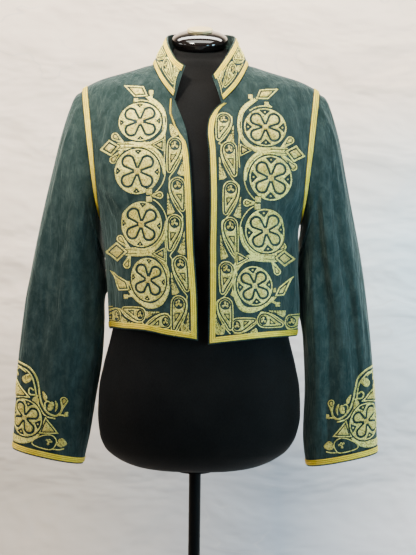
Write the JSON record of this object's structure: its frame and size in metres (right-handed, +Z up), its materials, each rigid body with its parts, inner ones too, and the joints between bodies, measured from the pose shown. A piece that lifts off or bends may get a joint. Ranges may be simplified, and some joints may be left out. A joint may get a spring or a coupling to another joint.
{
  "type": "bolero jacket on dress form",
  "caption": "Short long-sleeved jacket with a stand collar, braid edges and raised rosettes, worn open on a limbless dress form with a pole and a round base.",
  "frame": {"origin": "on the floor under the pole, the middle of the base", "axes": "+Z up, the front faces -Y, +X is the wearer's left"},
  "size_m": [0.6188, 0.34, 1.5487],
  "materials": {
    "cloth": "mottled suede-like nap",
    "braid": "metallic braid",
    "gold_work": "laid metallic thread",
    "form_jersey": "matt jersey",
    "gloss_black": "gloss",
    "pale_brass": "satin",
    "stand_black": "satin"
  },
  "bodies": {
    "root": {"front_right": "cloth", "front_left": "cloth", "back": "cloth", "collar": "cloth", "sleeve_right": "cloth", "sleeve_left": "cloth", "braid_front_right": "braid", "braid_front_left": "braid", "braid_back_hem": "braid", "braid_armhole_right": "braid", "braid_armhole_left": "braid", "braid_collar_foot": "braid", "braid_collar_top": "braid", "braid_cuff_right": "braid", "braid_cuff_left": "braid", "rosette_right_1": "gold_work", "rosette_right_2": "gold_work", "rosette_right_3": "gold_work", "rosette_right_4": "gold_work", "rosette_cuff_right": "gold_work", "rosette_left_1": "gold_work", "rosette_left_2": "gold_work", "rosette_left_3": "gold_work", "rosette_left_4": "gold_work", "rosette_cuff_left": "gold_work", "form_torso": "form_jersey", "neck_cap": "gloss_black", "cap_plate": "pale_brass", "form_flange": "stand_black", "pole": "stand_black", "base": "stand_black"}
  },
  "joints": []
}
